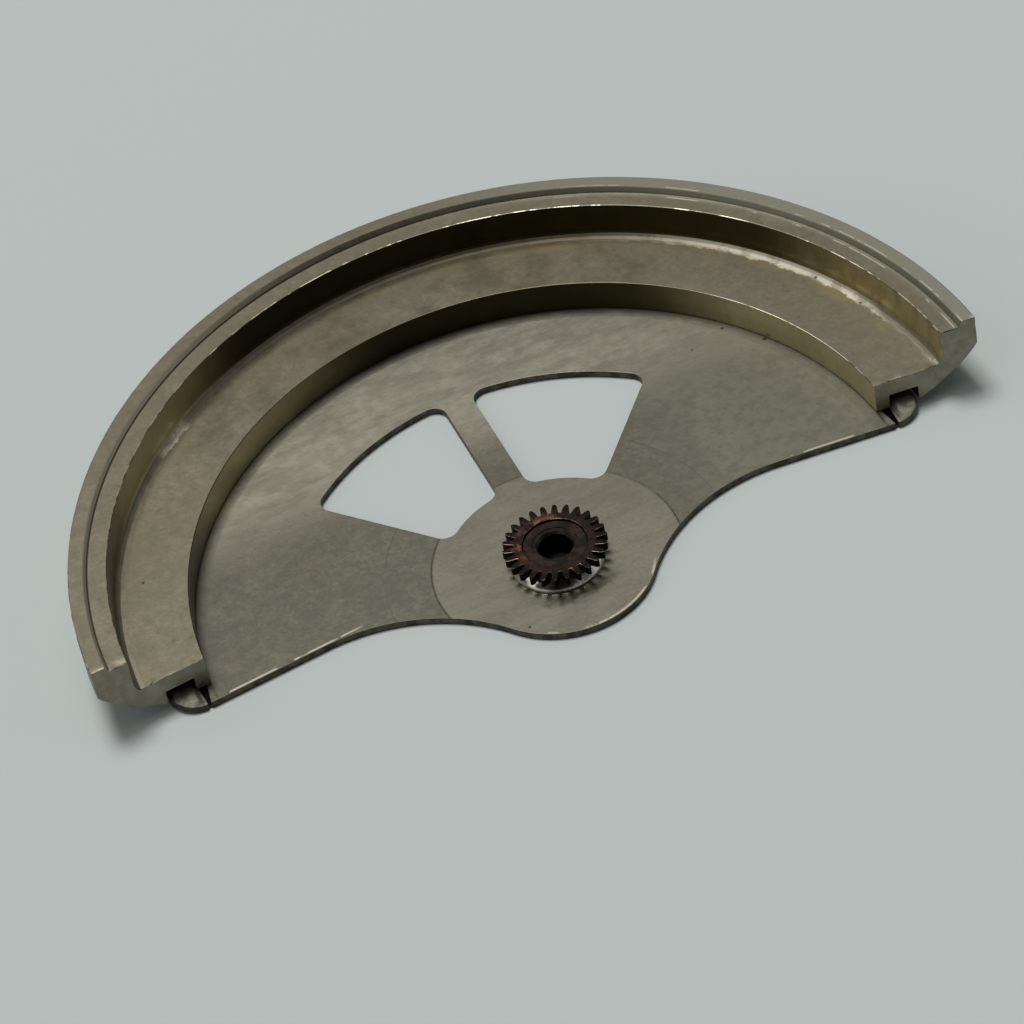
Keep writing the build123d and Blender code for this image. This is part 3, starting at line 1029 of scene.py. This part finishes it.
hubShape = {
    "collar": 1.27, "collarTop": 0.58, "shoulderFrom": 0.26, "shoulderWidth": 0.24, "shoulderBulge": 0.35,
    "shoulderSteps": 8, "spigot": 0.90, "flare": 0.10, "pipe": 0.86, "pipeBore": 0.625, "edgeBreak": 0.03,
}
bushShape = {"radius": 0.62, "bore": 0.45, "oilSink": 0.06, "oilWidth": 0.02}
pinionShape = {
    "teeth": 26, "phase": 4.6, "tip": 1.39, "pitch": 1.30, "root": 1.09, "bore": 0.865,
    "rootAngle": 9.6, "pitchAngle": 6.4, "tipAngle": 1.9, "edgeBreak": 0.02, "mergeDistance": 0.002,
}


def makeHub(shape):
    low, high = nodeBox("hub_pipe")
    foot = nodeBox("rotor_plate")[1].z
    edge, bore, pipe, spigot = shape["edgeBreak"], shape["pipeBore"], shape["pipe"], shape["spigot"]
    collar, top, bulge = shape["collar"], shape["collarTop"], shape["shoulderBulge"]
    profile = [(bore, low.z), (spigot + shape["flare"], low.z), (spigot, low.z + shape["flare"]),
               (spigot, foot), (collar - edge, foot), (collar, foot + edge)]
    # the collar's burnished shoulder, between a cone and a quarter of an ellipse
    for i in range(shape["shoulderSteps"] + 1):
        share = i / shape["shoulderSteps"]
        turn = math.radians(90 * share)
        inward = (1 - math.cos(turn)) * bulge + share * (1 - bulge)
        upward = math.sin(turn) * bulge + share * (1 - bulge)
        profile.append((collar - shape["shoulderWidth"] * inward,
                        shape["shoulderFrom"] + (top - shape["shoulderFrom"]) * upward))
    profile += [(pipe, top), (pipe, high.z - edge / 2), (pipe - edge / 2, high.z), (bore, high.z)]
    piece = lathe("hubPipe", profile, 128)
    finishes = [hubSteel, pipeSteel]
    paintFaces(piece, finishes, pipeSteel, lambda centre, normal: centre.z > top + 0.01)
    finishPiece(piece, finishes, "hub_pipe", 40)


def makeBush(shape):
    low, high = nodeBox("bearing_bush")
    bore, sink = shape["bore"], shape["oilSink"]
    profile = [(bore, low.z), (shape["radius"], low.z), (shape["radius"], high.z), (bore + sink, high.z),
               (bore + shape["oilWidth"], high.z - 0.6 * sink), (bore, high.z - sink)]
    piece = lathe("bearingBush", profile, 96)
    finishes = [bushBronze, paintedShade]
    # the bore's wall is painted near black: painted shade in the bore
    paintFaces(piece, finishes, paintedShade, lambda centre, normal: centre.xy.length < bore + 0.008)
    finishPiece(piece, finishes, "bearing_bush", 30)


def toothOutline(shape):
    # one tooth from the middle of one gap to the middle of the next
    def onCircle(radius, degrees):
        turn = math.radians(degrees)
        return Vector((radius * math.cos(turn), radius * math.sin(turn), 0))

    half = 180 / shape["teeth"]
    root = onCircle(shape["root"], shape["rootAngle"] / 2)
    pitch = onCircle(shape["pitch"], shape["pitchAngle"] / 2)
    tip = onCircle(shape["tip"], shape["tipAngle"] / 2)
    bend = pitch + (pitch - root).normalized() * (tip - pitch).length * 0.5
    flank = [root, root.lerp(pitch, 0.5), pitch]
    for share in (0.25, 0.5, 0.75, 1.0):
        flank.append(pitch.lerp(bend, share).lerp(bend.lerp(tip, share), share))
    floor = arc((0, 0), shape["root"], half, shape["rootAngle"] / 2, 0.04)
    upper = floor[:-1] + flank
    lower = [Vector((p.x, -p.y, 0)) for p in reversed(upper)]
    return upper + lower


def makePinion(shape):
    low, high = nodeBox("rotor_pinion")
    piece = startPiece("rotorPinion", [lifted(toothOutline(shape), low.z)], closed=False)
    spacing = 360 / shape["teeth"]
    spinRound(shape["teeth"] - 1, 360 - spacing, copies=True)
    bpy.ops.mesh.select_all(action="SELECT")
    # the first gap lies a little past the X axis
    bpy.ops.transform.rotate(value=-math.radians(spacing / 2 + shape["phase"]), orient_axis="Z",
                             center_override=(0, 0, 0))
    drawChain(lifted(ring(shape["bore"], 104), low.z), True)
    mergeAll(shape["mergeDistance"])
    fillAndRaise(high.z - low.z)
    breakEdges(piece, shape["edgeBreak"], 60)
    finishPiece(piece, [bronze, toothEdge], "rotor_pinion")


makeHub(hubShape)
makeBush(bushShape)
makePinion(pinionShape)


# Floor, light and camera

floorLook = {
    "size": 4.0,
    "drop": 0.000004,
    "paper": (0.462, 0.497, 0.479),
    "shade": (0.01, 0.01, 0.01),
    "shadeEdge": (0.50, 0.56),
    "roughness": 0.8,
    "sheen": 0.2,
}
roomLight = {
    "base": 0.05,
    "colour": (0.98, 0.99, 1.0),
    "horizon": (0.50, 0.53, 0.52),
    # towards, degrees of full light, degrees where it ends, strength
    "patches": [
        ((0.0, 0.05, 1.0), 8, 30, 0.9),
        ((-1.0, 0.15, 0.35), 20, 62, 0.60),
        ((1.0, -0.05, 0.15), 12, 45, 0.35),
        ((0.19, 0.69, 0.70), 5, 45, 0.10),
        ((0.1, -1.0, 0.25), 10, 32, 0.08),
    ],
}
softbox = {
    "place": (-0.05, 0.18, 0.78),
    "size": 0.30,
    "power": 4.6,
}
cameraView = {
    "azimuth": 15.364,
    "elevation": 44.462,
    "roll": -11.153,
    "distance": 0.115935,
    "aim": (-0.000305, 0.002433, 0.0),
    "lens": 153.116,
    "sensor": 36,
    "nearest": 0.001,
}


def makeFloor(look):
    deselectAll()
    bpy.ops.mesh.primitive_plane_add(size=look["size"], location=(0, 0, -look["drop"]))
    floor = bpy.context.object
    floor.name = "floor"
    material, shader = newMaterial("floorPaper")
    # painted shade: the floor is painted dark under the bore
    colour = blend(remap(fromAxis(place(shader)), look["shadeEdge"]), look["shade"], look["paper"])
    setSockets(shader, {
        "Base Color": colour, "Roughness": look["roughness"], "Specular IOR Level": look["sheen"],
    })
    floor.data.materials.append(material)


def makeWorld(light):
    # soft patches of light round the room, and one plain colour where the camera sees it
    world = bpy.data.worlds.new("room")
    bpy.context.scene.world = world
    world.use_nodes = True
    world.node_tree.nodes.clear()
    out = world.node_tree.nodes.new("ShaderNodeOutputWorld")
    coords = newNode(out, "TexCoord", {})
    amount = light["base"]
    for towards, full, edge, strength in light["patches"]:
        facing = newNode(out, "VectorMath", {})
        facing.operation = "DOT_PRODUCT"
        connect(coords.outputs["Generated"], facing.inputs[0])
        connect(Vector(towards).normalized(), facing.inputs[1])
        span = (math.cos(math.radians(edge)), math.cos(math.radians(full)))
        amount = calc("ADD", remap(facing.outputs["Value"], span, 0.0, strength), amount)
    room = newNode(out, "Background", {"Color": light["colour"], "Strength": amount})
    seen = newNode(out, "Background", {"Color": light["horizon"]})
    path = newNode(out, "LightPath", {})
    mix = newNode(out, "MixShader", {"Fac": path.outputs["Is Camera Ray"]})
    connect(room.outputs[0], mix.inputs[1])
    connect(seen.outputs[0], mix.inputs[2])
    connect(mix.outputs[0], out.inputs["Surface"])


def makeLamp(name, lampShape):
    deselectAll()
    bpy.ops.object.light_add(type="AREA", location=lampShape["place"])
    lamp = bpy.context.object
    lamp.name = name
    lamp.data.shape = "DISK"
    lamp.data.size = lampShape["size"]
    lamp.data.energy = lampShape["power"]
    lamp.rotation_euler = (-Vector(lampShape["place"])).to_track_quat("-Z", "Y").to_euler()


def makeCamera(view):
    azimuth = math.radians(view["azimuth"])
    elevation = math.radians(view["elevation"])
    ahead = Vector((math.sin(azimuth) * math.cos(elevation), math.cos(azimuth) * math.cos(elevation),
                    -math.sin(elevation)))
    deselectAll()
    bpy.ops.object.camera_add(location=Vector(view["aim"]) - ahead * view["distance"])
    camera = bpy.context.object
    level = ahead.to_track_quat("-Z", "Y")
    camera.rotation_euler = (level @ Quaternion((0, 0, 1), math.radians(view["roll"]))).to_euler()
    camera.data.sensor_width = view["sensor"]
    camera.data.lens = view["lens"]
    camera.data.clip_start = view["nearest"]
    bpy.context.scene.camera = camera


makeFloor(floorLook)
makeWorld(roomLight)
makeLamp("softbox", softbox)
makeCamera(cameraView)
bpy.context.scene.view_settings.view_transform = "Standard"
print("floor, light and camera ready")
